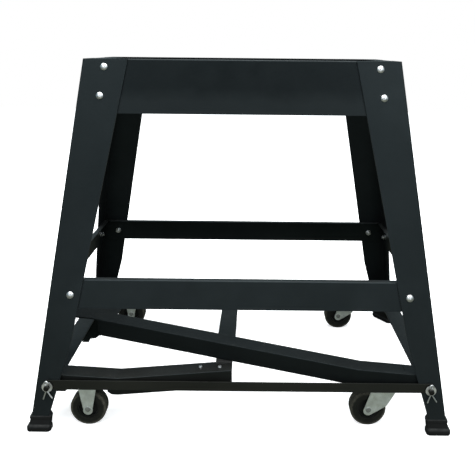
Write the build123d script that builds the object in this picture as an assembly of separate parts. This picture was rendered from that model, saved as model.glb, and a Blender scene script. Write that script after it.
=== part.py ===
"""Mobile steel stand for a bench-top woodworking machine.

Four splayed angle legs carry a deep apron and a low rail on every side. Two
pivoting lift frames with small wheels sit between the legs: stepping on the
long lever turns the right frame, which pushes the left frame down, and the
wheels then raise the rubber feet off the floor.

Frame: millimetres, +Z up, +X to the right as seen from the front, +Y to the
back. The origin is on the floor at the centre of the footprint.
"""
import os
from math import cos, radians, sin, tan

from build123d import *

# ---- Stand: overall shape -------------------------------------------------
TOP_Z = 694.0            # top of the stand
TOP_HALF_X = 304.0       # outer corner of the legs at the top
TOP_HALF_Y = 131.0
BATTER_X = 0.1336        # outward run of a leg per unit of drop, along X
BATTER_Y = 0.20          # and along Y
LEG_SHEET = 2.5          # leg thickness
RAIL_SHEET = 2.0         # apron and rail thickness
LEG_FOOT_Z = 8.0         # lower end of the steel, inside the rubber foot
KNEE_Z = 164.0           # height where the leg starts to taper more
# inner edge of the front flange (as |X|) and of the side flange (as |Y|)
FRONT_INNER = ((218.0, TOP_Z), (320.5, KNEE_Z), (365.5, LEG_FOOT_Z))
SIDE_INNER = ((51.0, TOP_Z), (177.0, KNEE_Z), (224.0, LEG_FOOT_Z))
CORNER_CUT = 3.0         # small cut on the top outer corner of each leg
BEND_R = 3.0             # outside radius of the sheet bends

APRON_BOTTOM_Z = 591.6
APRON_FLANGE = 30.0
APRON_END_GAP = 9.0      # apron stops this far from the leg corner
RAIL_TOP_Z = 281.0
RAIL_BOTTOM_Z = 227.0
RAIL_FLANGE = 12.5
RAIL_END_GAP = 9.0
MACHINE_HOLE_X = 180.0   # four holes for the machine's base
MACHINE_HOLE_Y = 113.0
MACHINE_HOLE_R = 4.5
RAIL_HOLE_X = -92.0      # small hanging hole in the front rail's flange

# ---- Stand fasteners ------------------------------------------------------
BOLT_R = 3.0
BOLT_HOLE_R = 3.3
BOLT_HEAD_R = 6.8
BOLT_HEAD_H = 3.6
NUT_H = 5.0
NUT_R = 5.77             # across corners
WASHER_R = 6.4
WASHER_T = 1.2
# (|X| or |Y|, Z) of the bolts on a front flange and on a side flange
FRONT_BOLTS = ((263.4, 679.0), (271.0, 625.0), (322.6, 253.0))
SIDE_BOLTS = ((94.0, 679.0), (104.0, 625.0), (175.0, 253.0))

# ---- Axles and tie bars ---------------------------------------------------
AXLE_X = 362.0
AXLE_Z = 85.0
AXLE_R = 5.0
AXLE_RUN = 0.08          # radial running clearance in the frames
AXLE_HALF = 267.0
AXLE_WASHER_R = 10.0
AXLE_WASHER_T = 1.6
AXLE_WASHER_Y = 258.4    # inner face of the washer
PIN_Y = 263.2            # split pin position along the axle
PIN_WIRE = 1.25
TIE_BOTTOM_Z = 78.4
TIE_TOP_Z = 95.1
TIE_HALF = 371.0
TIE_T = 3.0

# ---- Lift frames ----------------------------------------------------------
ARM_T = 2.5              # sheet thickness of the angle sections
FRONT_Y = -244.5         # front face of both frames
WEB_W = 38.0             # width of the horizontal leg of the angle
FLANGE_H = 34.0          # height of the vertical leg
REAR_Y = 219.0           # rear face of both frames
SIDE_OUT = 376.0         # outer face of the side bars
SIDE_IN = 338.0
LEFT_Z = 102.0           # top of the left side bar
RIGHT_Z = 109.0          # top of the right side bar
LEFT_FRONT_LINE = ((-SIDE_OUT, LEFT_Z), (-SIDE_IN, LEFT_Z), (-232.0, 95.8), (-14.0, 114.8))
LEFT_REAR_LINE = ((-SIDE_OUT, LEFT_Z), (-SIDE_IN, LEFT_Z), (-100.0, 74.2), (0.0, 74.2))
NOTCH_X = (-327.0, -252.0)   # gap in the flange for the caster
NOTCH_TOP_Z = 88.0
LEVER_BEND_X = 227.7     # where the lever leaves the front line
LEVER_BEND_Z = 118.5
LEVER_PLAN_DEG = 8.0     # lever's angle to the front, in plan
LEVER_RISE = 0.125       # rise per unit of plan length
LEVER_FLANGE_END_X = -284.0
LEVER_CREASE_X = -300.0
PEDAL_END_X = -388.0
PEDAL_START_X = -258.0   # the lever's web is wider from here on
PEDAL_W = 62.0
PEDAL_CORNER_R = 8.0
BRACE_X = (-44.0, -9.0)
BRACE_REAR_Z = 111.5
RIGHT_REAR_END_X = -9.0
RIVETS = ((-75.5, -222.0), (-38.0, -227.0))
PAD_X = (-46.0, -14.5)   # wear pad between the left arm and the lever
PAD_Y = (-216.0, -199.5)
PAD_GAP = 0.5
PIVOT_PLATE_Y = 20.0     # plate under the left side bar
PIVOT_PLATE_Z = 36.7

# ---- Casters --------------------------------------------------------------
WHEEL_R = 34.5
WHEEL_W = 24.0
HUB_R = 21.0
WHEEL_RUN = 0.08
CASTER_TOP_Z = 80.5
PLATE_T = 2.5
PLATE_X = 60.0
PLATE_Y = 35.0
FORK_IN = 13.4           # inner face of a fork cheek from the caster's middle
FORK_T = 2.0
FORK_TIP_R = 9.2
FORK_TIP_DROP = 2.5      # middle of the fork's round tip below the axle
WHEEL_AXLE_R = 4.0
TRAIL = 34.0
LEFT_CASTER_X = -289.5
RIGHT_PIVOT_X = 283.0
FRONT_CASTER_Y = -228.0  # right front
LEFT_FRONT_CASTER_Y = -235.0
REAR_CASTER_Y = 199.0
CASTER_BOLT = (24.0, 8.0)
BRACKET_X = 70.0

# ---- Rubber feet ----------------------------------------------------------
FOOT_COLLAR_Z = 13.0
FOOT_TOP_Z = 28.5
FOOT_LIP_H = 4.0

FRONT_IN = Vector(0, 1, -BATTER_Y).normalized()    # inward normal, front plane
SIDE_IN_N = Vector(-1, 0, -BATTER_X).normalized()  # inward normal, right plane


def corner_x(z):
    """Outer corner line of a leg, |X| at height z."""
    return TOP_HALF_X + BATTER_X * (TOP_Z - z)


def corner_y(z):
    """Outer corner line of a leg, |Y| at height z."""
    return TOP_HALF_Y + BATTER_Y * (TOP_Z - z)


def front_pt(x, z, depth=0.0):
    """Point on the sloping front plane, moved inwards by depth."""
    return Vector(x, -corner_y(z), z) + FRONT_IN * depth


def side_pt(y, z, depth=0.0):
    """Point on the sloping right-hand plane, moved inwards by depth."""
    return Vector(corner_x(z), y, z) + SIDE_IN_N * depth


def slab(points, direction, thickness):
    """Flat sheet: a polygon of 3-D points thickened along a direction."""
    face = Face(Wire.make_polygon(points, close=True))
    return Part() + extrude(face, amount=thickness, dir=direction)


def keep_between(part, z_low, z_high):
    """Trim a part to a height band."""
    band = Pos(0, 0, (z_low + z_high) / 2) * Box(2000, 2000, z_high - z_low)
    return part & band


def drill(part, centre, direction, radius, reach=20.0):
    """Round hole through a sheet at a point."""
    tool = Plane(origin=centre, z_dir=direction) * Cylinder(radius, reach)
    return part - tool


def four_ways(part):
    """The front-right piece and its three mirror images, keyed by corner."""
    left = mirror(part, about=Plane.YZ)
    return {
        "front_right": part,
        "front_left": left,
        "rear_right": mirror(part, about=Plane.XZ),
        "rear_left": mirror(left, about=Plane.XZ),
    }


def rod(start, end, radius):
    """Round bar between two points."""
    a = Vector(*start)
    b = Vector(*end)
    axis = b - a
    return Plane(origin=a, z_dir=axis) * Cylinder(
        radius, axis.length, align=(Align.CENTER, Align.CENTER, Align.MIN)
    )


# ---------------------------------------------------------------- the stand
def leg_blank():
    """Front-right leg as a bent sheet, before its holes."""
    top = TOP_Z + 6
    low = LEG_FOOT_Z - 6
    (fx0, fz0), (fx1, fz1), (fx2, fz2) = FRONT_INNER
    (sy0, sz0), (sy1, sz1), (sy2, sz2) = SIDE_INNER
    f_top = fx0 - (fx1 - fx0) / (fz0 - fz1) * 6
    f_low = fx2 + (fx2 - fx1) / (fz1 - fz2) * 6
    s_top = sy0 - (sy1 - sy0) / (sz0 - sz1) * 6
    s_low = sy2 + (sy2 - sy1) / (sz1 - sz2) * 6
    front = slab(
        [
            front_pt(f_top, top),
            front_pt(corner_x(top), top),
            front_pt(corner_x(low), low),
            front_pt(f_low, low),
            front_pt(fx1, fz1),
        ],
        FRONT_IN,
        LEG_SHEET,
    )
    side = slab(
        [
            side_pt(-s_top, top),
            side_pt(-corner_y(top), top),
            side_pt(-corner_y(low), low),
            side_pt(-s_low, low),
            side_pt(-sy1, sz1),
        ],
        SIDE_IN_N,
        LEG_SHEET,
    )
    leg = keep_between(front + side, LEG_FOOT_Z, TOP_Z)
    middle = Vector(corner_x(350), -corner_y(350), 350)
    bend = leg.edges().sort_by_distance(middle)[0]
    leg = fillet(bend, BEND_R)
    cut = Plane(
        origin=(TOP_HALF_X - CORNER_CUT, -TOP_HALF_Y + CORNER_CUT, TOP_Z),
        z_dir=(1, -1, 1.6),
    )
    corner_block = cut * Box(60, 60, 30, align=(Align.CENTER, Align.CENTER, Align.MIN))
    return leg - (Pos(0, 0, 3) * corner_block)


def leg():
    """Front-right leg with its bolt holes and the axle hole."""
    part = leg_blank()
    for x, z in FRONT_BOLTS:
        part = drill(part, front_pt(x, z), FRONT_IN, BOLT_HOLE_R)
    for y, z in SIDE_BOLTS:
        part = drill(part, side_pt(-y, z), SIDE_IN_N, BOLT_HOLE_R)
    hole = front_pt(AXLE_X, AXLE_Z)
    return drill(part, hole, Vector(0, 1, 0), AXLE_R + 0.15)


def member(out, reach, batter, z_low, z_high, flange, gap):
    """Apron or rail along X on the front plane: web and turned-in flange.

    out(z) is the plane's distance from the middle and reach(z) the distance
    of the leg corner along the member, both at height z.
    """
    slant = (1 + batter**2) ** 0.5
    thick = RAIL_SHEET * slant

    def face_y(z):
        return -out(z) + LEG_SHEET * slant

    inner_z = z_high - RAIL_SHEET
    profile = [
        (face_y(z_low), z_low),
        (face_y(z_high), z_high),
        (face_y(z_high) + flange, z_high),
        (face_y(z_high) + flange, inner_z),
        (face_y(inner_z) + thick, inner_z),
        (face_y(z_low) + thick, z_low),
    ]
    length = reach(z_low)
    part = slab([Vector(-length, y, z) for y, z in profile], Vector(1, 0, 0), 2 * length)
    edges = part.edges().filter_by(Axis.X)
    part = fillet(edges.sort_by_distance((0, face_y(z_high), z_high))[0], BEND_R)
    edges = part.edges().filter_by(Axis.X)
    spot = (0, face_y(inner_z) + thick, inner_z)
    part = fillet(edges.sort_by_distance(spot)[0], BEND_R - RAIL_SHEET)
    ends = [
        (reach(z_low - 5) - gap, z_low - 5),
        (reach(z_high + 5) - gap, z_high + 5),
        (-reach(z_high + 5) + gap, z_high + 5),
        (-reach(z_low - 5) + gap, z_low - 5),
    ]
    part = part & slab([Vector(x, -600, z) for x, z in ends], Vector(0, 1, 0), 1200)
    # mitred flange ends, so that neighbours meet without overlapping
    x0 = reach(z_high) - gap
    y0 = face_y(z_high) + thick + 1
    for side in (-1, 1):
        wedge = [
            Vector(side * (x0 + 10), y0, z_high + 5),
            Vector(side * x0, y0, z_high + 5),
            Vector(side * (x0 - flange), y0 + flange, z_high + 5),
            Vector(side * (x0 + 10), y0 + flange, z_high + 5),
        ]
        part = part - slab(wedge, Vector(0, 0, -1), RAIL_SHEET + 8)
    return part


def front_member(z_low, z_high, flange, gap, extra_holes):
    """Front apron or rail with its bolt holes."""
    part = member(corner_y, corner_x, BATTER_Y, z_low, z_high, flange, gap)
    for x, z in FRONT_BOLTS:
        if z_low < z < z_high:
            for side in (-1, 1):
                part = drill(part, front_pt(side * x, z), FRONT_IN, BOLT_HOLE_R)
    for x, y, radius in extra_holes:
        part = drill(part, (x, y, z_high), Vector(0, 0, 1), radius, 8)
    return part


def side_member(z_low, z_high, flange, gap):
    """Right-hand apron or rail with its bolt holes."""
    part = member(corner_x, corner_y, BATTER_X, z_low, z_high, flange, gap)
    part = Rot(0, 0, 90) * part
    for y, z in SIDE_BOLTS:
        if z_low < z < z_high:
            for end in (-1, 1):
                part = drill(part, side_pt(end * y, z), SIDE_IN_N, BOLT_HOLE_R)
    return part


def foot_outline(z, grow, run_x, run_y, end_w):
    """Corner-shaped outline of a rubber foot at height z."""
    cx = corner_x(z) + grow
    cy = corner_y(z) + grow
    return Wire.make_polygon(
        [
            Vector(cx - run_x, -cy + end_w, z),
            Vector(cx - run_x, -cy, z),
            Vector(cx, -cy, z),
            Vector(cx, -cy + run_y, z),
            Vector(cx - end_w, -cy + run_y, z),
        ],
        close=True,
    )


def rubber_foot():
    """Front-right foot: a collar over the leg end and a flared sole."""
    collar = Part() + loft(
        [
            Face(foot_outline(FOOT_COLLAR_Z - 4, 1.8, 40.0, 53.0, 12.0)),
            Face(foot_outline(FOOT_TOP_Z, 1.8, 39.5, 51.5, 12.0)),
        ],
        ruled=True,
    )
    uprights = collar.edges().filter_by(lambda e: abs(e.tangent_at(0.5).Z) > 0.8)
    collar = fillet(uprights, 3.0)
    lip = Part() + loft(
        [
            Face(foot_outline(FOOT_TOP_Z - FOOT_LIP_H, 2.9, 41.0, 53.2, 13.0)),
            Face(foot_outline(FOOT_TOP_Z, 2.9, 40.8, 52.6, 13.0)),
        ],
        ruled=True,
    )
    uprights = lip.edges().filter_by(lambda e: abs(e.tangent_at(0.5).Z) > 0.8)
    lip = fillet(uprights, 3.0)
    outline = foot_outline(0, 4.6, 46.0, 59.5, 17.0)
    sole = Part() + extrude(Face(outline), amount=FOOT_COLLAR_Z, dir=(0, 0, 1))
    sole = fillet(sole.edges().filter_by(Axis.Z), 7.0)
    sole = fillet(sole.faces().sort_by(Axis.Z)[-1].edges(), 5.0)
    sole = fillet(sole.faces().sort_by(Axis.Z)[0].edges(), 3.5)
    return collar + lip + sole - leg_blank()


def stand_bolts():
    """Dome-head bolts, washers and nuts of the front-right leg."""
    spots = [(front_pt(x, z), FRONT_IN) for x, z in FRONT_BOLTS]
    spots += [(side_pt(-y, z), SIDE_IN_N) for y, z in SIDE_BOLTS]
    stack = LEG_SHEET + RAIL_SHEET
    bolts = Part()
    washers = Part()
    nuts = Part()
    cap_r = (BOLT_HEAD_R**2 + (BOLT_HEAD_H - 0.8) ** 2) / (2 * (BOLT_HEAD_H - 0.8))
    for point, inward in spots:
        place = Plane(origin=point, z_dir=inward)
        up = (Align.CENTER, Align.CENTER, Align.MIN)
        down = (Align.CENTER, Align.CENTER, Align.MAX)
        dome = Pos(0, 0, cap_r - BOLT_HEAD_H) * Sphere(cap_r)
        dome = dome & Cylinder(BOLT_HEAD_R, BOLT_HEAD_H, align=down)
        shank = Cylinder(BOLT_R, stack + WASHER_T + NUT_H + 2.5, align=up)
        bolts += place * (dome + shank)
        ring = Cylinder(WASHER_R, WASHER_T, align=up) - Cylinder(BOLT_R, 9)
        washers += place * (Pos(0, 0, stack) * ring)
        hexagon = extrude(RegularPolygon(NUT_R, 6), NUT_H)
        hexagon = hexagon - Cylinder(BOLT_R, 20)
        nuts += place * (Pos(0, 0, stack + WASHER_T) * hexagon)
    return bolts, washers, nuts


def all_four(part):
    """One part made of the front-right piece and its three mirror images."""
    total = Part()
    for piece in four_ways(part).values():
        total += piece
    return total


# -------------------------------------------------------- axles and tie bars
def axle():
    """Right-hand axle with a cross hole for the split pin at each end."""
    part = rod((AXLE_X, -AXLE_HALF, AXLE_Z), (AXLE_X, AXLE_HALF, AXLE_Z), AXLE_R)
    ends = part.edges().filter_by(GeomType.CIRCLE)
    part = chamfer(ends, 0.8)
    for y in (-PIN_Y, PIN_Y):
        part = drill(part, (AXLE_X, y, AXLE_Z), Vector(0, 0, 1), 2 * PIN_WIRE + 0.1, 30)
    return Part() + part


def axle_washers():
    """Plain washers under the four split pins."""
    total = Part()
    for x in (-AXLE_X, AXLE_X):
        for end in (-1, 1):
            a = (x, end * AXLE_WASHER_Y, AXLE_Z)
            b = (x, end * (AXLE_WASHER_Y + AXLE_WASHER_T), AXLE_Z)
            total += rod(a, b, AXLE_WASHER_R) - rod(
                (x, end * 250, AXLE_Z), (x, end * 275, AXLE_Z), AXLE_R
            )
    return total


def split_pin(x, end):
    """Split pin: an eye above the axle and two legs spread below it."""
    y = end * PIN_Y
    eye_z = AXLE_Z + AXLE_R + 5.2
    gap = PIN_WIRE + 0.1
    low = AXLE_Z - AXLE_R - 1.5
    points = [
        (x - 6.5, y + end, AXLE_Z - 22.0),
        (x - gap, y, low),
        (x - gap, y, eye_z - 3.8),
        (x - 4.4, y, eye_z),
        (x, y, eye_z + 4.2),
        (x + 4.4, y, eye_z),
        (x + gap, y, eye_z - 3.8),
        (x + gap, y, low),
        (x + 10.5, y + end, AXLE_Z - 20.0),
    ]
    path = FilletPolyline(*points, radius=[2.0, 1.8, 2.4, 2.4, 2.4, 1.8, 2.0])
    section = Plane(origin=path @ 0, z_dir=path % 0) * Circle(PIN_WIRE)
    return Part() + sweep(section, path=path)


def tie_bar():
    """Front tie bar: a flat strip on the leg faces between the axle ends."""
    low = TIE_BOTTOM_Z
    high = TIE_TOP_Z
    part = slab(
        [
            front_pt(-TIE_HALF, low),
            front_pt(TIE_HALF, low),
            front_pt(TIE_HALF, high),
            front_pt(-TIE_HALF, high),
        ],
        FRONT_IN * -1,
        TIE_T,
    )
    ends = part.edges().filter_by(lambda e: abs(e.tangent_at(0.5).Y) > 0.9)
    part = fillet(ends, 6.0)
    for x in (-AXLE_X, AXLE_X):
        part = drill(part, front_pt(x, AXLE_Z), Vector(0, 1, 0), AXLE_R + 0.15)
    return part


def axle_spacers():
    """Sleeves that hold the frames away from the rear legs."""
    total = Part()
    y_a = REAR_Y + 0.6
    y_b = corner_y(AXLE_Z + 8) - LEG_SHEET * 1.02 - 0.3
    for x in (-AXLE_X, AXLE_X):
        sleeve = rod((x, y_a, AXLE_Z), (x, y_b, AXLE_Z), 8.0)
        total += sleeve - rod((x, y_a - 5, AXLE_Z), (x, y_b + 5, AXLE_Z), AXLE_R + 0.02)
    return total


# --------------------------------------------------------------- lift frames
def line_z(line, x):
    """Height of a polyline of (x, z) points at x."""
    for (x0, z0), (x1, z1) in zip(line, line[1:]):
        if min(x0, x1) <= x <= max(x0, x1):
            return z0 + (z1 - z0) * (x - x0) / (x1 - x0)
    raise ValueError("x is outside the line")


def xz_prism(points, y_low, y_high):
    """Outline in the XZ plane, extruded from y_low to y_high."""
    return slab([Vector(x, y_low, z) for x, z in points], Vector(0, 1, 0), y_high - y_low)


def bent_web(line, y_low, y_high):
    """Horizontal sheet that follows a line of (x, z) points."""
    under = [(x, z - ARM_T) for x, z in reversed(line)]
    return xz_prism(list(line) + under, y_low, y_high)


def drill_axle(part, x):
    """Running bore for an axle through everything the part has there."""
    return part - rod((x, -300, AXLE_Z), (x, 300, AXLE_Z), AXLE_R + AXLE_RUN)


def left_arm(line, web_y, flange_y):
    """Left front or rear arm: an angle with a notch for the caster."""
    web = bent_web(line, *web_y)
    outline = [
        (-SIDE_OUT, LEFT_Z - 1),
        (-SIDE_OUT, LEFT_Z - FLANGE_H + 4),
        (-SIDE_OUT + 4, LEFT_Z - FLANGE_H),
        (NOTCH_X[0] - 6, LEFT_Z - FLANGE_H),
        (NOTCH_X[0], LEFT_Z - FLANGE_H + 6),
        (NOTCH_X[0], NOTCH_TOP_Z),
        (NOTCH_X[1], NOTCH_TOP_Z),
        (NOTCH_X[1], line_z(line, NOTCH_X[1]) - FLANGE_H + 5),
        (NOTCH_X[1] + 8, line_z(line, NOTCH_X[1] + 8) - FLANGE_H),
    ]
    outline += [(x, z - FLANGE_H) for x, z in line if x > NOTCH_X[1] + 10]
    outline += [(x, z - 1) for x, z in reversed(line) if x > -SIDE_OUT]
    flange = xz_prism(outline, *flange_y)
    part = web + flange
    return drill_axle(part, -AXLE_X)


def left_front_arm():
    """Left front arm, bent up towards its free end."""
    part = left_arm(
        LEFT_FRONT_LINE, (FRONT_Y, FRONT_Y + WEB_W), (FRONT_Y, FRONT_Y + ARM_T)
    )
    for x, y in RIVETS:
        part = drill(part, (x, y, line_z(LEFT_FRONT_LINE, x)), Vector(0, 0, 1), 3.0, 12)
    return part


def left_rear_arm():
    """Left rear arm, bent down to pass under the right frame."""
    return left_arm(LEFT_REAR_LINE, (REAR_Y - WEB_W, REAR_Y), (REAR_Y - ARM_T, REAR_Y))


def side_bar(z_top):
    """Right-hand side bar between the front and rear arms, at height z_top."""
    y_low = FRONT_Y + WEB_W
    y_high = REAR_Y - WEB_W
    points = [
        (SIDE_IN, z_top),
        (SIDE_OUT, z_top),
        (SIDE_OUT, z_top - FLANGE_H),
        (SIDE_OUT - ARM_T, z_top - FLANGE_H),
        (SIDE_OUT - ARM_T, z_top - ARM_T),
        (SIDE_IN, z_top - ARM_T),
    ]
    part = xz_prism(points, y_low, y_high)
    bend = part.edges().filter_by(Axis.Y).sort_by_distance((SIDE_OUT, 0, z_top))[0]
    return fillet(bend, BEND_R)


def wear_pad():
    """Wedge pad on the left front arm that the lever's flange bears on."""
    turn = radians(LEVER_PLAN_DEG)
    bottom = []
    top = []
    for x in PAD_X:
        bottom.append((x, line_z(LEFT_FRONT_LINE, x)))
        run = (LEVER_BEND_X - x) / cos(turn)
        z = LEVER_BEND_Z + run * LEVER_RISE - (FLANGE_H - 0.5) - PAD_GAP
        top.append((x, z))
    return xz_prism([bottom[0], bottom[1], top[1], top[0]], *PAD_Y)


def left_pivot_plate():
    """Plate under the left side bar that steadies the axle at mid length."""
    top = LEFT_Z - ARM_T
    x_out = -SIDE_OUT + ARM_T + 1.0
    x_in = -SIDE_IN
    plate = xz_prism(
        [(x_out, top), (x_in, top), (-328.0, top - 6.0), (-328.0, 53.5), (-332.5, 53.5),
         (-341.0, 46.5), (-354.5, 45.0), (-357.0, PIVOT_PLATE_Z), (x_out, PIVOT_PLATE_Z)],
        PIVOT_PLATE_Y,
        PIVOT_PLATE_Y + ARM_T,
    )
    tab = xz_prism(
        [(x_out, top), (x_in, top), (x_in, top - ARM_T), (x_out, top - ARM_T)],
        PIVOT_PLATE_Y,
        PIVOT_PLATE_Y + 26.0,
    )
    toe = xz_prism(
        [(x_out, PIVOT_PLATE_Z), (-358.0, PIVOT_PLATE_Z),
         (-358.0, PIVOT_PLATE_Z + ARM_T), (x_out, PIVOT_PLATE_Z + ARM_T)],
        PIVOT_PLATE_Y,
        PIVOT_PLATE_Y + 22.0,
    )
    return drill_axle(plate + tab + toe, -AXLE_X)


def arm_rivets():
    """Domed rivets through the end of the left front arm."""
    total = Part()
    for x, y in RIVETS:
        z = line_z(LEFT_FRONT_LINE, x)
        tilt = Plane(origin=(x, y, z), z_dir=(-0.087, 0, 1))
        dome = tilt * (Sphere(3.8) & (Pos(0, 0, 5.0) * Box(20, 20, 10)))
        squashed = tilt * Cylinder(3.8, 2.0, align=(Align.CENTER, Align.CENTER, Align.MIN))
        shank = tilt * Cylinder(2.4, ARM_T + 2.0, align=(Align.CENTER, Align.CENTER, Align.MAX))
        total += (dome & squashed) + shank
    return total


def lever_pt(x, across=0.0, drop=0.0):
    """Point on the lever's sloping run: x on its front edge, then across."""
    turn = radians(LEVER_PLAN_DEG)
    run = (LEVER_BEND_X - x) / cos(turn)
    y = FRONT_Y + run * sin(turn)
    z = LEVER_BEND_Z + run * LEVER_RISE
    return Vector(x + across * sin(turn), y + across * cos(turn), z - drop)


def lever_web():
    """Horizontal leg of the lever's angle: level, rising, then at a slant in plan."""
    turn = radians(LEVER_PLAN_DEG)
    down = Vector(0, 0, -1)
    y_back = FRONT_Y + WEB_W
    level = slab(
        [Vector(SIDE_OUT, FRONT_Y, RIGHT_Z), Vector(SIDE_IN, FRONT_Y, RIGHT_Z),
         Vector(SIDE_IN, y_back, RIGHT_Z), Vector(SIDE_OUT, y_back, RIGHT_Z)],
        down,
        ARM_T,
    )
    rising = slab(
        [Vector(SIDE_IN, FRONT_Y, RIGHT_Z), Vector(LEVER_BEND_X, FRONT_Y, LEVER_BEND_Z),
         Vector(LEVER_BEND_X, y_back, LEVER_BEND_Z), Vector(SIDE_IN, y_back, RIGHT_Z)],
        down,
        ARM_T,
    )
    # the two runs of the web meet in a small wedge behind the bend
    wedge = slab(
        [Vector(LEVER_BEND_X, FRONT_Y, LEVER_BEND_Z),
         Vector(LEVER_BEND_X, y_back, LEVER_BEND_Z),
         Vector(LEVER_BEND_X + WEB_W * sin(turn), FRONT_Y + WEB_W * cos(turn), LEVER_BEND_Z)],
        down,
        ARM_T,
    )
    slanted = slab(
        [lever_pt(LEVER_BEND_X), lever_pt(LEVER_CREASE_X),
         lever_pt(LEVER_CREASE_X, WEB_W), lever_pt(LEVER_BEND_X, WEB_W)],
        down,
        ARM_T,
    )
    return level + rising + wedge + slanted


def pedal():
    """Wide end of the lever: a strip beside its web, then a level plate."""
    turn = radians(LEVER_PLAN_DEG)
    down = Vector(0, 0, -1)
    crease = LEVER_CREASE_X
    strip = slab(
        [lever_pt(PEDAL_START_X, WEB_W - 1), lever_pt(crease, WEB_W - 1),
         lever_pt(crease, PEDAL_W), lever_pt(PEDAL_START_X, PEDAL_W)],
        down,
        ARM_T,
    )
    near = lever_pt(crease)
    near_back = lever_pt(crease, PEDAL_W)
    far = Vector(PEDAL_END_X, near.Y + (crease - PEDAL_END_X) * tan(turn), near.Z)
    far_back = far + Vector(PEDAL_W * sin(turn), PEDAL_W * cos(turn), 0)
    plate = slab([near, far, far_back, near_back], down, ARM_T)
    corners = plate.edges().filter_by(Axis.Z).sort_by(Axis.X)[:2]
    return strip + fillet(corners, PEDAL_CORNER_R)


def lever_flange():
    """Vertical leg of the lever's angle: the straight run, then along the lever."""
    low = RIGHT_Z - FLANGE_H
    straight = xz_prism(
        [(SIDE_OUT, RIGHT_Z - 1), (SIDE_IN, RIGHT_Z - 1), (LEVER_BEND_X, LEVER_BEND_Z - 1),
         (LEVER_BEND_X, LEVER_BEND_Z - FLANGE_H), (SIDE_IN, low + 8),
         (SIDE_IN + 4, low), (SIDE_OUT - 4, low), (SIDE_OUT, low + 4)],
        FRONT_Y,
        FRONT_Y + ARM_T,
    )
    turn = radians(LEVER_PLAN_DEG)
    height = FLANGE_H - 0.5
    end_x = LEVER_FLANGE_END_X
    slanted = slab(
        [lever_pt(LEVER_BEND_X, 0, 1), lever_pt(end_x, 0, 1), lever_pt(end_x, 0, height - 9),
         lever_pt(end_x + 7, 0, height), lever_pt(LEVER_BEND_X, 0, height)],
        Vector(sin(turn), cos(turn), 0),
        ARM_T,
    )
    return straight + slanted


def lever_arm():
    """Right front arm that runs on as the long lever and pedal."""
    return drill_axle(lever_web() + pedal() + lever_flange(), AXLE_X)


def brace_corners():
    """Top corners of the brace: two on the lever, two at the rear arm."""
    turn = radians(LEVER_PLAN_DEG)
    fronts = []
    for x in BRACE_X:
        p = lever_pt(x - WEB_W * sin(turn), WEB_W)
        fronts.append(p)
    along = fronts[1] - fronts[0]
    middle = (fronts[0] + fronts[1]) * 0.5
    rear_mid = Vector(middle.X, REAR_Y, BRACE_REAR_Z)
    slope = along.Z / along.X
    half = (BRACE_X[1] - BRACE_X[0]) / 2
    rears = [rear_mid + Vector(s * half, 0, s * half * slope) for s in (-1, 1)]
    # keep all four points in one plane
    normal = (fronts[1] - fronts[0]).cross(rear_mid - middle).normalized()
    for i, p in enumerate(rears):
        off = normal.dot(p - fronts[0])
        rears[i] = p - Vector(0, 0, off / normal.Z)
    return fronts, rears


def centre_brace():
    """Brace from the lever back to the right frame's rear arm."""
    fronts, rears = brace_corners()
    down = Vector(0, 0, -1)
    web = slab([fronts[0], fronts[1], rears[1], rears[0]], down, ARM_T)
    lip = slab(
        [fronts[0] + down, rears[0] + down, rears[0] + down * 18, fronts[0] + down * 18],
        Vector(1, 0, 0),
        ARM_T,
    )
    return web + lip


def right_rear_arm():
    """Right rear arm, from the side bar to the brace."""
    _, rears = brace_corners()
    end_z = rears[1].Z
    line = ((SIDE_OUT, RIGHT_Z), (SIDE_IN, RIGHT_Z), (RIGHT_REAR_END_X, end_z))
    web = bent_web(line, REAR_Y - WEB_W, REAR_Y)
    low = RIGHT_Z - FLANGE_H
    flange = xz_prism(
        [(SIDE_OUT, RIGHT_Z - 1), (SIDE_IN, RIGHT_Z - 1), (RIGHT_REAR_END_X, end_z - 1),
         (RIGHT_REAR_END_X, low), (SIDE_OUT - 4, low), (SIDE_OUT, low + 4)],
        REAR_Y - ARM_T,
        REAR_Y,
    )
    return drill_axle(web + flange, AXLE_X)


def caster_bracket(xc, yc, band, under, lip=0.0):
    """U-shaped seat that carries a caster, at (xc, yc), below an arm's web.

    The base can reach forward by lip, through the notch in the arm's flange.
    """
    y_low, y_high = band
    half = BRACKET_X / 2
    base_z = CASTER_TOP_Z + ARM_T
    part = Pos(xc, (y_low - lip + y_high) / 2, CASTER_TOP_Z + ARM_T / 2) * Box(
        BRACKET_X, y_high - y_low + lip, ARM_T
    )
    part = Part() + part
    for x0 in (xc - half, xc + half - ARM_T):
        x1 = x0 + ARM_T
        points = [(x0, base_z - 0.5), (x1, base_z - 0.5), (x1, under(x1)), (x0, under(x0))]
        part += xz_prism(points, y_low, y_high)
    for sx in (-1, 1):
        for sy in (-1, 1):
            spot = (xc + sx * CASTER_BOLT[0], yc + sy * CASTER_BOLT[1], CASTER_TOP_Z)
            part = drill(part, spot, Vector(0, 0, 1), BOLT_HOLE_R, 12)
    return part


def web_under(line):
    """Underside height of an arm's web, as a function of x."""
    return lambda x: line_z(line, x) - ARM_T


# ------------------------------------------------------------------- casters
def caster_bolts(xc, yc):
    """Four bolts with nuts that hold a caster plate to its bracket."""
    total = Part()
    for sx in (-1, 1):
        for sy in (-1, 1):
            x = xc + sx * CASTER_BOLT[0]
            y = yc + sy * CASTER_BOLT[1]
            low = CASTER_TOP_Z - PLATE_T
            head = Pos(x, y, low - 3.0) * extrude(RegularPolygon(NUT_R, 6), 3.0)
            nut = Pos(x, y, CASTER_TOP_Z + ARM_T) * extrude(RegularPolygon(NUT_R, 6), 4.5)
            total += head + nut + rod((x, y, low - 1), (x, y, CASTER_TOP_Z + 7.3), BOLT_R)
    return total


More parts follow.
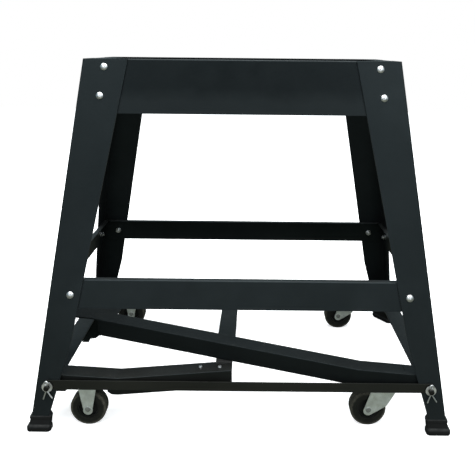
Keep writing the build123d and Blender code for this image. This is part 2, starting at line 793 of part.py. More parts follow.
def plate_with_holes(xc, yc):
    """Rectangular caster plate with rounded corners and four holes."""
    plate = Pos(xc, yc, CASTER_TOP_Z - PLATE_T / 2) * Box(PLATE_X, PLATE_Y, PLATE_T)
    plate = fillet(plate.edges().filter_by(Axis.Z), 4.0)
    plate = Part() + plate
    for sx in (-1, 1):
        for sy in (-1, 1):
            spot = (xc + sx * CASTER_BOLT[0], yc + sy * CASTER_BOLT[1], CASTER_TOP_Z)
            plate = drill(plate, spot, Vector(0, 0, 1), BOLT_HOLE_R, 12)
    return plate


def fork_cheeks(xc, yc, axle_x, top, belly):
    """Two side cheeks from a top edge (x0, x1, z) down to the wheel axle.

    belly holds the corners of the right-hand edge between the two.
    """
    x0, x1, z = top
    tip_z = WHEEL_R - FORK_TIP_DROP
    tip_side = FORK_TIP_R * 0.96
    total = Part()
    for side in (-1, 1):
        inner = yc + side * FORK_IN
        outer = yc + side * (FORK_IN + FORK_T)
        y_low = min(inner, outer)
        y_high = max(inner, outer)
        cheek = xz_prism(
            [(xc + x0, z), (xc + x1, z)] + list(belly)
            + [(axle_x - tip_side, tip_z + FORK_TIP_R * 0.28)],
            y_low,
            y_high,
        )
        cheek += rod((axle_x, y_low, tip_z), (axle_x, y_high, tip_z), FORK_TIP_R)
        total += cheek
    hole = rod((axle_x, yc - 40, WHEEL_R), (axle_x, yc + 40, WHEEL_R), WHEEL_AXLE_R)
    return total - hole


def rigid_fork(xc, yc):
    """Fixed caster body: plate and fork pressed in one piece."""
    part = plate_with_holes(xc, yc)
    tip_z = WHEEL_R - FORK_TIP_DROP
    belly = [(xc + FORK_TIP_R * 0.96, tip_z + FORK_TIP_R * 0.28)]
    return part + fork_cheeks(xc, yc, xc, (-17.5, 17.5, CASTER_TOP_Z - 1), belly)


def swivel_top(xc, yc):
    """Swivel caster plate with its upper race and kingpin."""
    part = plate_with_holes(xc, yc)
    low = CASTER_TOP_Z - PLATE_T
    part += rod((xc, yc, low - 2.7), (xc, yc, low + 0.5), 15.5)
    part += rod((xc, yc, low - 13), (xc, yc, low), 4.5)
    part += rod((xc, yc, low - 14.5), (xc, yc, low - 10.3), 7.5)
    return part


def swivel_fork(xc, yc):
    """Swivelling fork: lower race, crown plate and two raked cheeks."""
    crown_top = CASTER_TOP_Z - PLATE_T - 5.2
    wide = FORK_IN + FORK_T
    part = Pos(xc - 6.5, yc, crown_top - 1.25) * Box(47.0, 2 * wide, 2.5)
    part = Part() + part
    part += rod((xc, yc, crown_top - 1), (xc, yc, crown_top + 2.2), 17.0)
    axle_x = xc - TRAIL
    tip_z = WHEEL_R - FORK_TIP_DROP
    belly = [
        (xc + 0.5, 43.0),
        (axle_x + FORK_TIP_R * 0.5, tip_z - FORK_TIP_R * 0.86),
    ]
    part += fork_cheeks(xc, yc, axle_x, (-30.0, 17.0, crown_top - 1), belly)
    return part - rod((xc, yc, crown_top - 6), (xc, yc, crown_top + 6), 4.56)


def wheel_axle(x, yc):
    """Wheel axle bolt: domed head in front, lock nut behind."""
    wide = FORK_IN + FORK_T
    part = rod((x, yc - wide, WHEEL_R), (x, yc + wide + 6, WHEEL_R), WHEEL_AXLE_R)
    head = Plane(origin=(x, yc - wide, WHEEL_R), z_dir=(0, -1, 0)) * (
        Cylinder(5.2, 1.3, align=(Align.CENTER, Align.CENTER, Align.MIN))
    )
    head = fillet(head.edges().filter_by(GeomType.CIRCLE).sort_by(Axis.Y)[0], 0.7)
    nut = Plane(origin=(x, yc + wide, WHEEL_R), z_dir=(0, 1, 0)) * extrude(
        RegularPolygon(6.6, 6), 4.5
    )
    return Part() + part + head + nut


def tyre(x, yc):
    """Rubber tyre with rounded shoulders."""
    half = WHEEL_W / 2
    outer = rod((x, yc - half, WHEEL_R), (x, yc + half, WHEEL_R), WHEEL_R)
    outer = fillet(outer.edges().filter_by(GeomType.CIRCLE), 2.6)
    return outer - rod((x, yc - 20, WHEEL_R), (x, yc + 20, WHEEL_R), HUB_R)


def hub(x, yc):
    """Wheel centre: a thin disc between a rim and a boss."""
    half = WHEEL_W / 2
    part = rod((x, yc - half + 2, WHEEL_R), (x, yc + half - 2, WHEEL_R), HUB_R)
    for side in (-1, 1):
        a = (x, yc + side * 4.0, WHEEL_R)
        b = (x, yc + side * 20.0, WHEEL_R)
        part = part - (rod(a, b, HUB_R - 3.0) - rod(a, b, 8.0))
    boss = rod((x, yc - FORK_IN + 0.5, WHEEL_R), (x, yc + FORK_IN - 0.5, WHEEL_R), 8.0)
    bore = rod((x, yc - 30, WHEEL_R), (x, yc + 30, WHEEL_R), WHEEL_AXLE_R + WHEEL_RUN)
    return part + boss - bore


# --------------------------------------------------------------------- build
def build():
    """All nodes, keyed by name."""
    nodes = {}
    for name, part in four_ways(leg()).items():
        nodes["leg_" + name] = part
    for name, part in four_ways(rubber_foot()).items():
        nodes["foot_" + name] = part

    machine_holes = [(s * MACHINE_HOLE_X, -MACHINE_HOLE_Y, MACHINE_HOLE_R) for s in (-1, 1)]
    apron = front_member(APRON_BOTTOM_Z, TOP_Z, APRON_FLANGE, APRON_END_GAP, machine_holes)
    nodes["apron_front"] = apron
    nodes["apron_rear"] = mirror(apron, about=Plane.XZ)
    apron = side_member(APRON_BOTTOM_Z, TOP_Z, APRON_FLANGE, APRON_END_GAP)
    nodes["apron_right"] = apron
    nodes["apron_left"] = mirror(apron, about=Plane.YZ)

    rail = front_member(RAIL_BOTTOM_Z, RAIL_TOP_Z, RAIL_FLANGE, RAIL_END_GAP, [])
    nodes["rail_rear"] = mirror(rail, about=Plane.XZ)
    hole = [(RAIL_HOLE_X, -corner_y(RAIL_TOP_Z) + 10.5, 2.2)]
    nodes["rail_front"] = front_member(
        RAIL_BOTTOM_Z, RAIL_TOP_Z, RAIL_FLANGE, RAIL_END_GAP, hole
    )
    rail = side_member(RAIL_BOTTOM_Z, RAIL_TOP_Z, RAIL_FLANGE, RAIL_END_GAP)
    nodes["rail_right"] = rail
    nodes["rail_left"] = mirror(rail, about=Plane.YZ)

    bolts, washers, nuts = stand_bolts()
    nodes["stand_bolts"] = all_four(bolts)
    nodes["stand_washers"] = all_four(washers)
    nodes["stand_nuts"] = all_four(nuts)

    nodes["axle_right"] = axle()
    nodes["axle_left"] = mirror(axle(), about=Plane.YZ)
    nodes["axle_washers"] = axle_washers()
    pins = Part()
    for x in (-AXLE_X, AXLE_X):
        for end in (-1, 1):
            pins += split_pin(x, end)
    nodes["split_pins"] = pins
    nodes["axle_spacers"] = axle_spacers()
    nodes["tie_bar_front"] = tie_bar()
    nodes["tie_bar_rear"] = mirror(tie_bar(), about=Plane.XZ)

    nodes["left_side_bar"] = mirror(side_bar(LEFT_Z), about=Plane.YZ)
    nodes["left_front_arm"] = left_front_arm()
    nodes["left_rear_arm"] = left_rear_arm()
    nodes["left_arm_rivets"] = arm_rivets()
    nodes["wear_pad"] = wear_pad()
    nodes["left_pivot_plate"] = left_pivot_plate()
    nodes["right_side_bar"] = side_bar(RIGHT_Z)
    nodes["lever_arm"] = lever_arm()
    nodes["centre_brace"] = centre_brace()
    nodes["right_rear_arm"] = right_rear_arm()

    front_band = (FRONT_Y + ARM_T, FRONT_Y + WEB_W)
    rear_band = (REAR_Y - WEB_W, REAR_Y - ARM_T)
    lever_line = ((SIDE_OUT, RIGHT_Z), (SIDE_IN, RIGHT_Z), (LEVER_BEND_X, LEVER_BEND_Z))
    _, rears = brace_corners()
    rear_line = ((SIDE_OUT, RIGHT_Z), (SIDE_IN, RIGHT_Z), (RIGHT_REAR_END_X, rears[1].Z))
    nodes["bracket_left_front"] = caster_bracket(
        LEFT_CASTER_X, LEFT_FRONT_CASTER_Y, front_band, web_under(LEFT_FRONT_LINE), 8.0
    )
    nodes["bracket_left_rear"] = caster_bracket(
        LEFT_CASTER_X, REAR_CASTER_Y, rear_band, web_under(LEFT_REAR_LINE)
    )
    nodes["bracket_right_front"] = caster_bracket(
        RIGHT_PIVOT_X, FRONT_CASTER_Y, front_band, web_under(lever_line)
    )
    nodes["bracket_right_rear"] = caster_bracket(
        RIGHT_PIVOT_X, REAR_CASTER_Y, rear_band, web_under(rear_line)
    )

    bolts = caster_bolts(LEFT_CASTER_X, LEFT_FRONT_CASTER_Y)
    nodes["caster_bolts_left"] = bolts + caster_bolts(LEFT_CASTER_X, REAR_CASTER_Y)
    bolts = caster_bolts(RIGHT_PIVOT_X, FRONT_CASTER_Y)
    nodes["caster_bolts_right"] = bolts + caster_bolts(RIGHT_PIVOT_X, REAR_CASTER_Y)

    for end, yc in (("front", LEFT_FRONT_CASTER_Y), ("rear", REAR_CASTER_Y)):
        tag = "left_" + end
        nodes["fork_" + tag] = rigid_fork(LEFT_CASTER_X, yc)
        nodes["wheel_axle_" + tag] = wheel_axle(LEFT_CASTER_X, yc)
        nodes["tyre_" + tag] = tyre(LEFT_CASTER_X, yc)
        nodes["hub_" + tag] = hub(LEFT_CASTER_X, yc)
    for end, yc in (("front", FRONT_CASTER_Y), ("rear", REAR_CASTER_Y)):
        tag = "right_" + end
        nodes["swivel_top_" + tag] = swivel_top(RIGHT_PIVOT_X, yc)
        nodes["fork_" + tag] = swivel_fork(RIGHT_PIVOT_X, yc)
        wheel_x = RIGHT_PIVOT_X - TRAIL
        nodes["wheel_axle_" + tag] = wheel_axle(wheel_x, yc)
        nodes["tyre_" + tag] = tyre(wheel_x, yc)
        nodes["hub_" + tag] = hub(wheel_x, yc)
    return nodes


os.makedirs("parts", exist_ok=True)
for node_name, node_part in build().items():
    export_step(node_part, "parts/" + node_name + ".step")
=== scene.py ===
import math

import bpy
from mathutils import Matrix, Vector


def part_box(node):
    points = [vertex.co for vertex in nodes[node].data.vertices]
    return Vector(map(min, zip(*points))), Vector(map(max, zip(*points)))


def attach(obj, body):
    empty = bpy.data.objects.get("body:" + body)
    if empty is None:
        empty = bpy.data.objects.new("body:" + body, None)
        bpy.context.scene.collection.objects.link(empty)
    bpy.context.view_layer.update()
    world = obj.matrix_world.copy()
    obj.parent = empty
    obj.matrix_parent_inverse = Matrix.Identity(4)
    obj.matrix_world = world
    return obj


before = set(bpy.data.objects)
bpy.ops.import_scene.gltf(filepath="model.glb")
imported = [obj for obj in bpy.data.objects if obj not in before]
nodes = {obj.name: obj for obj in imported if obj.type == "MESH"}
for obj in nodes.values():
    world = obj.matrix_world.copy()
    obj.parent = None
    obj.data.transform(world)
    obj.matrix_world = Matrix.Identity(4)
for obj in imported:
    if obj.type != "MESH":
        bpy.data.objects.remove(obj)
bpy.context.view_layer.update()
scene = bpy.context.scene
scene.view_settings.view_transform = "Standard"

# ---------------------------------------------------------------- camera, metres and radians
CAMERA_AT = (0.0190, -1.3278, 0.7154)
CAMERA_DOWN = math.radians(11.0)
CAMERA_ROLL = 0.010
SENSOR_WIDTH = 36.0
LENS = 46.99
SHIFT_X = -0.0290
SHIFT_Y = -0.1386
CLIP_START = 0.01
CLIP_END = 50.0

# ---------------------------------------------------------------- colours, linear RGBA
BLUE_BLACK = (0.86, 1.0, 1.05)                   # tints multiply a grey
# tint of the lightened edges: rubbed paint and a painted highlight along the bends
RUBBED_HIGHLIGHT_TINT = (0.90, 1.0, 1.04)
PAINT_DUST = (0.090, 0.088, 0.078, 1.0)
PAINT_SPECK = (0.16, 0.15, 0.13, 1.0)
PAINT_SHINE = (0.72, 0.93, 1.0, 1.0)
OLIVE_SHINE = (0.92, 1.0, 0.88, 1.0)
ZINC_GRIME = (0.12, 0.11, 0.09, 1.0)
RUBBER_DUST = (0.040, 0.042, 0.040, 1.0)
WALL_DARK = (0.0068, 0.0076, 0.0062, 1.0)        # side wall of a tyre
WALL_LIGHT = (0.0130, 0.0138, 0.0112, 1.0)
TREAD_DARK = (0.030, 0.030, 0.024, 1.0)
TREAD_LIGHT = (0.095, 0.090, 0.070, 1.0)
GRIT = (0.26, 0.24, 0.19, 1.0)
HUB_DARK = (0.0055, 0.0062, 0.0060, 1.0)
HUB_LIGHT = (0.011, 0.012, 0.0115, 1.0)
HUB_EDGE = (0.035, 0.036, 0.032, 1.0)
HUB_DUST = (0.034, 0.033, 0.027, 1.0)
PAD_DARK = (0.012, 0.012, 0.012, 1.0)
PAD_LIGHT = (0.034, 0.034, 0.032, 1.0)
WHITE = (1.0, 1.0, 1.0, 1.0)
SKY_BOUNCE = (0.225, 0.30, 0.33, 1.0)            # the world as the object sees it
FLOOR_SEEN = (0.93, 0.93, 0.93, 1.0)
FLOOR_BOUNCE = (0.115, 0.120, 0.095, 1.0)        # the floor as the object sees it

# ---------------------------------------------------------------- measures of the surfaces
BEVEL_SAMPLES = 6
EDGE_START = 0.02                                # bevel difference where the edge mask starts
EDGE_FULL = 0.3
APRON_SHADE_BAND = (0.616, 0.640, 0.0105)              # painted shade: low and high end of the fade from the darker top to the paler tone below
TREAD_RADIUS = (0.0290, 0.0314)                  # from side wall to full tread
TYRE_RING_PITCH = 4200.0                         # radians per metre of the moulding rings
SEAM_HALF = 0.0006

# ---------------------------------------------------------------- weld beads, metres
BEAD_STEP = 0.0012                               # length of one ripple
BEAD_RADIUS = 0.0017
BEAD_SIDES = 8
RINGS_PER_RIPPLE = 3
BEAD_SWAY = 0.00025
BAR_BEAD_INSET = 0.004                           # from the bar's edges to the ends of its bead
BAR_BEAD_SINK = 0.0004
BAR_BEAD_PHASE = 0.7                             # radians, where the ripples start
BRACKET_BEAD_PHASE = 1.3
BRACKET_BEAD_OUT = 0.0006
BRACKET_BEAD_DROP = 0.004
BRACKET_BEAD_FRONT = 0.012
BRACKET_BEAD_BACK = 0.006

# ---------------------------------------------------------------- studio, metres and watts
FLOOR_HALF = 6.0
GLOW_REACH = (0.3, 1.3)                          # distances over which the floor fades to white
GLOW = (0.62, 1.1)
LIGHTS = (
    # name, place, aim, size, watts
    ("top_softbox", (0.0, -0.2, 3.2), (0.0, 0.0, 0.0), (4.4, 4.4), 250.0),
    ("front_softbox", (-1.6, -2.8, 2.2), (0.0, 0.0, 0.35), (1.6, 1.6), 19.0),
    ("right_softbox", (2.4, -1.6, 1.9), (0.0, 0.0, 0.35), (1.2, 1.8), 10.0),
    ("right_panel", (1.0, -2.1, 1.45), (0.2, 0.0, 0.6), (0.9, 0.9), 6.5),
    ("low_strip", (0.0, -2.6, 0.25), (0.0, 0.0, 0.05), (3.0, 0.35), 7.5),
)


def add_camera():
    data = bpy.data.cameras.new("camera")
    data.sensor_width = SENSOR_WIDTH
    data.lens = LENS
    data.shift_x = SHIFT_X
    data.shift_y = SHIFT_Y
    data.clip_start = CLIP_START
    data.clip_end = CLIP_END
    camera = bpy.data.objects.new("camera", data)
    pitch = Matrix.Rotation(math.pi / 2 - CAMERA_DOWN, 4, "X")
    roll = Matrix.Rotation(CAMERA_ROLL, 4, "Z")
    camera.matrix_world = Matrix.Translation(CAMERA_AT) @ pitch @ roll
    scene.collection.objects.link(camera)
    scene.camera = camera


# ---------------------------------------------------------------- node helpers
class Tree:
    """Short calls for building one material's nodes, placed in the object's own metres."""

    def __init__(self, name):
        self.material = bpy.data.materials.new(name)
        self.material.use_nodes = True
        self.nodes = self.material.node_tree.nodes
        self.links = self.material.node_tree.links
        self.shader = self.nodes["Principled BSDF"]
        self.place = self.nodes.new("ShaderNodeTexCoord").outputs["Object"]

    def put(self, socket, value):
        if isinstance(value, bpy.types.NodeSocket):
            self.links.new(value, socket)
        else:
            socket.default_value = value

    def add(self, kind, **inputs):
        node = self.nodes.new("ShaderNode" + kind)
        for name, value in inputs.items():
            self.put(node.inputs[name.replace("_", " ")], value)
        return node

    def noise(self, scale, detail=3.0, roughness=0.5, place=None):
        vector = place or self.place
        node = self.add("TexNoise", Scale=scale, Detail=detail, Roughness=roughness, Vector=vector)
        return node.outputs["Fac"]

    def stretch(self, scale):
        return self.add("Mapping", Scale=scale, Vector=self.place).outputs["Vector"]

    def ramp(self, value, low, high, start=0.0, end=1.0):
        node = self.add("MapRange", Value=value, From_Min=low, From_Max=high, To_Min=start, To_Max=end)
        return node.outputs["Result"]

    def maths(self, operation, a, b=0.0):
        node = self.add("Math")
        node.operation = operation
        self.put(node.inputs[0], a)
        self.put(node.inputs[1], b)
        return node.outputs["Value"]

    def times(self, a, b):
        return self.maths("MULTIPLY", a, b)

    def plus(self, a, b):
        return self.maths("ADD", a, b)

    def mix(self, factor, a, b):
        node = self.add("Mix")
        node.data_type = "RGBA"
        self.put(node.inputs["Factor"], factor)
        self.put(node.inputs["A"], a)
        self.put(node.inputs["B"], b)
        return node.outputs["Result"]

    def axis(self, name, source=None):
        return self.add("SeparateXYZ", Vector=source or self.place).outputs[name]

    def normal(self):
        return self.add("NewGeometry").outputs["Normal"]

    def facing(self, name):
        return self.axis(name, self.normal())

    def bevelled(self, radius):
        node = self.add("Bevel", Radius=radius)
        node.samples = BEVEL_SAMPLES
        return node.outputs["Normal"]

    def edge_mask(self, radius):
        """0 on a flat face, towards 1 close to an edge."""
        dot = self.add("VectorMath")
        dot.operation = "DOT_PRODUCT"
        self.put(dot.inputs[0], self.bevelled(radius))
        self.put(dot.inputs[1], self.normal())
        return self.ramp(self.maths("SUBTRACT", 1.0, dot.outputs["Value"]), EDGE_START, EDGE_FULL)

    def bump(self, height, distance, strength, soft_edge):
        normal = self.bevelled(soft_edge)
        node = self.add("Bump", Strength=strength, Distance=distance, Height=height, Normal=normal)
        self.put(self.shader.inputs["Normal"], node.outputs["Normal"])

    def set(self, **values):
        for name, value in values.items():
            self.put(self.shader.inputs[name.replace("_", " ")], value)


def grey(value, tint):
    return tuple(value * t for t in tint) + (1.0,)


# ---------------------------------------------------------------- materials
def powder_coat(name, dark, light, tint, dust, gloss=0.42, gleam=0.25, shade_band=None,
                shine=PAINT_SHINE, bend=0.0008, rub_and_highlight=3.2):
    """Fine-textured semi-gloss powder coat: cloudy tone, orange peel, edges lightened partly as rubbed
    paint and partly as a painted highlight along the bends, and settled dust.
    """
    t = Tree(name)
    cloud = t.ramp(t.noise(7.0, 4.0, 0.6), 0.35, 0.68)
    base = t.mix(cloud, grey(dark, tint), grey(light, tint))
    if shade_band:
        # painted shade: paler paint below a given height, darker above, standing in for how the light
        # falls
        low, high, pale = shade_band
        drift = t.ramp(t.noise(9.0, 3.0, 0.6), 0.3, 0.7, -0.008, 0.008)
        height = t.plus(t.axis("Z"), drift)
        base = t.mix(t.ramp(height, low, high, 1.0, 0.0), base, grey(pale, tint))
    # lighter edges: partly rubbed paint, partly a painted highlight along the bends
    edge_tone = t.ramp(t.edge_mask(0.0016), 0.0, 1.0, 0.0, 0.55)
    base = t.mix(edge_tone, base, grey(light * rub_and_highlight, RUBBED_HIGHLIGHT_TINT))
    up = t.ramp(t.facing("Z"), 0.35, 0.98)
    settled = t.times(up, t.ramp(t.noise(38.0, 4.0, 0.65), 0.3, 0.8, 0.35, 1.0))
    base = t.mix(t.times(settled, dust), base, PAINT_DUST)
    speck = t.ramp(t.noise(420.0, 2.0, 0.5), 0.67, 0.74)
    base = t.mix(t.times(t.times(up, speck), 0.30), base, PAINT_SPECK)
    rough = t.ramp(t.noise(24.0, 4.0, 0.6), 0.3, 0.75, gloss - 0.07, gloss + 0.09)
    t.set(Base_Color=base, Roughness=rough, Specular_IOR_Level=gleam, Specular_Tint=shine)
    peel = t.plus(t.times(t.noise(900.0, 2.0, 0.6), 0.7), t.times(t.noise(230.0, 2.0, 0.4), 0.9))
    t.bump(peel, 0.00016, 0.55, bend)
    return t.material


def zinc(name, tone, tint, rough_low, rough_high, grain=(1.0, 1.0, 1.0)):
    """Zinc plate: mottled crystals, dull spots, fine scratches and dark grime."""
    t = Tree(name)
    crystal = t.add("TexVoronoi", Scale=520.0, Vector=t.place)
    mottled = t.ramp(crystal.outputs["Distance"], 0.0, 0.75)
    cloud = t.ramp(t.noise(70.0, 4.0, 0.6), 0.32, 0.7)
    base = t.mix(cloud, grey(tone * 0.80, tint), grey(tone, tint))
    base = t.mix(t.times(mottled, 0.25), base, grey(tone * 0.6, tint))
    grime = t.ramp(t.noise(160.0, 5.0, 0.7), 0.60, 0.78)
    base = t.mix(t.times(grime, 0.55), base, ZINC_GRIME)
    rough = t.ramp(t.noise(120.0, 4.0, 0.6), 0.3, 0.7, rough_low, rough_high)
    t.set(Base_Color=base, Roughness=rough, Metallic=1.0)
    scratches = t.noise(900.0, 3.0, 0.7, t.stretch(grain))
    t.bump(t.plus(t.times(scratches, 0.6), t.times(mottled, 0.4)), 0.00008, 0.45, 0.0005)
    return t.material


def rubber(name, dark, tint):
    """Moulded black rubber with a matt skin, chalky bloom and rubbed edges."""
    t = Tree(name)
    bloom = t.ramp(t.noise(45.0, 5.0, 0.65), 0.38, 0.75)
    base = t.mix(bloom, grey(dark, tint), grey(dark * 2.3, tint))
    edge_tone = t.ramp(t.edge_mask(0.0018), 0.0, 1.0, 0.0, 0.5)
    base = t.mix(edge_tone, base, grey(dark * 5.0, tint))
    up = t.ramp(t.facing("Z"), 0.3, 1.0)
    settled = t.times(up, t.ramp(t.noise(150.0), 0.4, 0.7, 0.1, 0.5))
    base = t.mix(settled, base, RUBBER_DUST)
    t.set(Base_Color=base, Roughness=t.ramp(bloom, 0.0, 1.0, 0.62, 0.82), Specular_IOR_Level=0.22)
    skin = t.plus(t.noise(700.0, 3.0, 0.6), t.times(t.noise(90.0, 2.0), 0.6))
    t.bump(skin, 0.00022, 0.5, 0.0007)
    return t.material


def tyre(name, axle):
    """Caster tyre: dark side walls and a tread rubbed dusty brown, with grit pressed into it."""
    t = Tree(name)
    shift = t.add("VectorMath")
    shift.operation = "SUBTRACT"
    t.put(shift.inputs[0], t.place)
    t.put(shift.inputs[1], axle)
    x, y, z = (t.axis(letter, shift.outputs["Vector"]) for letter in "XYZ")
    reach = t.maths("SQRT", t.plus(t.times(x, x), t.times(z, z)))
    wander = t.ramp(t.noise(160.0, 4.0, 0.6), 0.3, 0.7, -0.0012, 0.0012)
    tread = t.ramp(t.plus(reach, wander), *TREAD_RADIUS)
    base = t.mix(t.ramp(t.noise(60.0, 5.0, 0.6), 0.35, 0.7), WALL_DARK, WALL_LIGHT)
    dust = t.mix(t.ramp(t.noise(210.0, 5.0, 0.7), 0.35, 0.7), TREAD_DARK, TREAD_LIGHT)
    base = t.mix(t.times(tread, 0.85), base, dust)
    grit = t.ramp(t.noise(520.0, 3.0, 0.6), 0.66, 0.72)
    base = t.mix(t.times(t.times(grit, tread), 0.6), base, GRIT)
    t.set(Base_Color=base, Roughness=t.ramp(tread, 0.0, 1.0, 0.5, 0.85), Specular_IOR_Level=0.22)
    rings = t.maths("SINE", t.times(reach, TYRE_RING_PITCH))
    seam = t.ramp(t.maths("ABSOLUTE", y), 0.0, SEAM_HALF, 1.0, 0.0)
    height = t.plus(t.noise(420.0, 4.0, 0.65), t.times(rings, 0.10))
    t.bump(t.plus(height, t.times(seam, 0.5)), 0.0003, 0.6, 0.0008)
    return t.material


def hub_plastic(name):
    """Moulded wheel centre: dark plastic with rubbed edges and dust."""
    t = Tree(name)
    cloud = t.ramp(t.noise(80.0, 4.0, 0.6), 0.35, 0.7)
    base = t.mix(cloud, HUB_DARK, HUB_LIGHT)
    base = t.mix(t.ramp(t.edge_mask(0.0012), 0.0, 1.0, 0.0, 0.4), base, HUB_EDGE)
    base = t.mix(t.ramp(t.noise(300.0, 5.0, 0.7), 0.55, 0.8, 0.0, 0.4), base, HUB_DUST)
    t.set(Base_Color=base, Roughness=t.ramp(cloud, 0.0, 1.0, 0.38, 0.55), Specular_IOR_Level=0.24)
    t.bump(t.noise(650.0, 3.0, 0.6), 0.00018, 0.5, 0.0005)
    return t.material


def wear_plastic(name):
    """Slippery plastic, scuffed along X where the lever slides over it."""
    t = Tree(name)
    drag = t.noise(500.0, 4.0, 0.6, t.stretch((0.15, 1.0, 1.0)))
    base = t.mix(t.ramp(drag, 0.35, 0.7), PAD_DARK, PAD_LIGHT)
    t.set(Base_Color=base, Roughness=t.ramp(drag, 0.3, 0.7, 0.35, 0.6), Specular_IOR_Level=0.5)
    t.bump(drag, 0.0002, 0.5, 0.0005)
    return t.material


def finish_with(material, names):
    for name in names:
        data = nodes[name].data
        data.materials.clear()
        data.materials.append(material)


def matching(*starts):
    return [name for name in sorted(nodes) if name.startswith(starts)]


def add_paint():
    """Paint on every pressed steel piece. Gives back the lift frames' paint."""
    stand = powder_coat("stand_powder_coat", 0.0052, 0.0080, BLUE_BLACK, dust=0.10)
    finish_with(stand, matching("leg_", "rail_"))

    # painted shade: a darker copy of the same black paint, darker still along its top
    apron = powder_coat("apron_shaded_powder_coat", 0.0030, 0.0050, BLUE_BLACK, dust=0.10,
                        gloss=0.44, gleam=0.17, shade_band=APRON_SHADE_BAND)
    finish_with(apron, matching("apron_"))

    lift = powder_coat("lift_powder_coat", 0.0036, 0.0058, (0.88, 1.0, 1.0), dust=0.05,
                       gloss=0.44, gleam=0.20, bend=0.0024, rub_and_highlight=8.0)
    finish_with(lift, matching("right_", "lever_", "centre_", "bracket_", "left_pivot", "left_side"))

    # painted light: a lighter, olive-tinted copy of the same black paint, so these arms read lighter
    # than the rest of their frame
    low = powder_coat("low_arm_lit_powder_coat", 0.0066, 0.0096, (1.0, 1.0, 0.90), dust=0.03,
                      gloss=0.44, gleam=0.20, bend=0.0024, rub_and_highlight=8.0)
    finish_with(low, matching("left_front_arm", "left_rear_arm"))

    # painted light: a lighter, olive-tinted copy of the same black paint
    tie = powder_coat("tie_bar_lit_powder_coat", 0.0074, 0.0110, (0.98, 1.0, 0.82), dust=0.03,
                      gloss=0.44, gleam=0.14, shine=OLIVE_SHINE)
    finish_with(tie, matching("tie_bar"))
    return lift


def add_metal_and_rubber():
    """Fasteners, axles, forks, feet, wheels and the wear pad."""
    bright = zinc("bolt_zinc", 0.80, (0.98, 1.0, 1.01), 0.22, 0.42)
    finish_with(bright, matching("stand_bolts", "stand_nuts", "stand_washers", "split_pins"))
    finish_with(bright, matching("caster_bolts", "left_arm_rivets"))
    washer = zinc("washer_zinc", 1.0, (0.99, 1.0, 1.0), 0.34, 0.55)
    finish_with(washer, ["axle_washers"])
    steel = zinc("axle_steel", 0.035, (1.0, 0.99, 0.94), 0.42, 0.62, grain=(1.0, 0.06, 1.0))
    finish_with(steel, matching("axle_left", "axle_right", "axle_spacers"))
    fork = zinc("fork_zinc", 1.0, (0.94, 1.0, 0.98), 0.36, 0.56)
    finish_with(fork, matching("fork_", "swivel_top_"))
    wheel_bolt = zinc("wheel_bolt_zinc", 0.42, (0.96, 1.0, 0.97), 0.45, 0.65)
    finish_with(wheel_bolt, matching("wheel_axle_"))
    finish_with(rubber("foot_rubber", 0.0038, (0.90, 1.0, 1.02)), matching("foot_"))
    finish_with(hub_plastic("hub_plastic"), matching("hub_"))
    finish_with(wear_plastic("pad_plastic"), ["wear_pad"])
    for name in matching("tyre_"):
        low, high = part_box(name)
        finish_with(tyre(name + "_rubber", (low + high) / 2), [name])


# ---------------------------------------------------------------- weld beads
def bead_mesh(name, start, end, phase):
    """Mesh of a fillet weld with overlapping ripples, from start to end."""
    start, end = Vector(start), Vector(end)
    length = (end - start).length
    along = (end - start).normalized()
    across = along.orthogonal().normalized()
    other = along.cross(across)
    rings = max(6, int(length / BEAD_STEP * RINGS_PER_RIPPLE))
    points, faces = [], []
    for i in range(rings + 1):
        share = i / rings
        ripple = abs(math.sin(share * length / BEAD_STEP * math.pi / 2 + phase))
        taper = min(1.0, 6.0 * min(share, 1.0 - share) + 0.35)
        sway = BEAD_SWAY * math.sin(23.0 * share + phase * 3.0)
        radius = BEAD_RADIUS * taper * (0.80 + 0.20 * ripple)
        middle = start.lerp(end, share) + other * sway
        for k in range(BEAD_SIDES):
            angle = 2 * math.pi * k / BEAD_SIDES
            points.append(middle + across * radius * math.cos(angle) + other * radius * math.sin(angle))
    for i in range(rings):
        for k in range(BEAD_SIDES):
            a, b = i * BEAD_SIDES + k, i * BEAD_SIDES + (k + 1) % BEAD_SIDES
            faces.append((a, b, b + BEAD_SIDES, a + BEAD_SIDES))
    faces.append(tuple(reversed(range(BEAD_SIDES))))
    faces.append(tuple(range(rings * BEAD_SIDES, (rings + 1) * BEAD_SIDES)))
    mesh = bpy.data.meshes.new(name)
    mesh.from_pydata(points, [], faces)
    mesh.polygons.foreach_set("use_smooth", [True] * len(faces))
    mesh.validate()
    return mesh


def weld_bead(name, start, end, body, material, phase):
    """A painted bead that rides on a body."""
    mesh = bead_mesh(name, start, end, phase)
    mesh.materials.append(material)
    bead = bpy.data.objects.new(name, mesh)
    scene.collection.objects.link(bead)
    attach(bead, body)


def add_bar_welds(side, body, material):
    """Seams across the two ends of a side bar, where it meets the arms."""
    low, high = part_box(f"{side}_side_bar")
    inner, outer, inset = high.x, low.x, BAR_BEAD_INSET
    if side == "right":
        inner, outer, inset = low.x, high.x, -BAR_BEAD_INSET
    z = high.z - BAR_BEAD_SINK
    for end, y in (("front", low.y), ("rear", high.y)):
        start = (inner - inset, y, z)
        finish = (outer + inset, y, z)
        weld_bead(f"weld_{side}_{end}", start, finish, body, material, BAR_BEAD_PHASE)


def add_bracket_welds(name, body, material):
    """Seams along the top of a caster bracket's two sides, under the arm's web."""
    low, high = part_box(name)
    z = high.z - BRACKET_BEAD_DROP
    for side, x in (("a", low.x - BRACKET_BEAD_OUT), ("b", high.x + BRACKET_BEAD_OUT)):
        start = (x, low.y + BRACKET_BEAD_FRONT, z)
        finish = (x, high.y - BRACKET_BEAD_BACK, z)
        weld_bead(f"weld_{name}_{side}", start, finish, body, material, BRACKET_BEAD_PHASE)


def add_welds(material):
    for side in ("left", "right"):
        add_bar_welds(side, f"{side}_lift_frame", material)
    for side in ("left", "right"):
        for end in ("front", "rear"):
            add_bracket_welds(f"bracket_{side}_{end}", f"{side}_lift_frame", material)


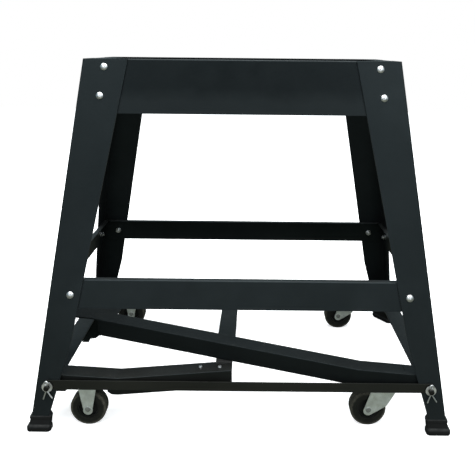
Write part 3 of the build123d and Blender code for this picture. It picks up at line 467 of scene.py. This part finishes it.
# ---------------------------------------------------------------- studio
def add_world():
    """White to the camera, and a dim blue-grey surround for the object's light and reflections."""
    world = bpy.data.worlds.new("studio")
    scene.world = world
    world.use_nodes = True
    tree = world.node_tree
    ray = tree.nodes.new("ShaderNodeLightPath")
    mix = tree.nodes.new("ShaderNodeMix")
    mix.data_type = "RGBA"
    mix.inputs["A"].default_value = SKY_BOUNCE
    mix.inputs["B"].default_value = WHITE
    tree.links.new(ray.outputs["Is Camera Ray"], mix.inputs["Factor"])
    tree.links.new(mix.outputs["Result"], tree.nodes["Background"].inputs["Color"])


def floor_paper():
    """Paper sweep that fades to plain white away from the stand, and sends little light back."""
    t = Tree("floor_paper")
    seen = t.add("LightPath").outputs["Is Camera Ray"]
    reach = t.add("VectorMath")
    reach.operation = "LENGTH"
    t.put(reach.inputs[0], t.place)
    glow = t.times(t.ramp(reach.outputs["Value"], *GLOW_REACH, *GLOW), seen)
    t.set(Base_Color=t.mix(seen, FLOOR_BOUNCE, FLOOR_SEEN), Roughness=1.0, Specular_IOR_Level=0.0)
    t.set(Emission_Color=WHITE, Emission_Strength=glow)
    return t.material


def add_floor():
    mesh = bpy.data.meshes.new("floor")
    corners = [(x * FLOOR_HALF, y * FLOOR_HALF, 0.0) for x, y in ((-1, -1), (1, -1), (1, 1), (-1, 1))]
    mesh.from_pydata(corners, [], [(0, 1, 2, 3)])
    mesh.materials.append(floor_paper())
    floor = bpy.data.objects.new("floor", mesh)
    scene.collection.objects.link(floor)


def add_light(name, place, aim, size, watts):
    data = bpy.data.lights.new(name, "AREA")
    data.shape = "RECTANGLE"
    data.size, data.size_y = size
    data.energy = watts
    lamp = bpy.data.objects.new(name, data)
    lamp.location = place
    lamp.rotation_mode = "QUATERNION"
    lamp.rotation_quaternion = (Vector(aim) - Vector(place)).to_track_quat("-Z", "Y")
    scene.collection.objects.link(lamp)


lift_paint = add_paint()
add_metal_and_rubber()
add_welds(lift_paint)
add_world()
add_floor()
for light in LIGHTS:
    add_light(*light)
add_camera()
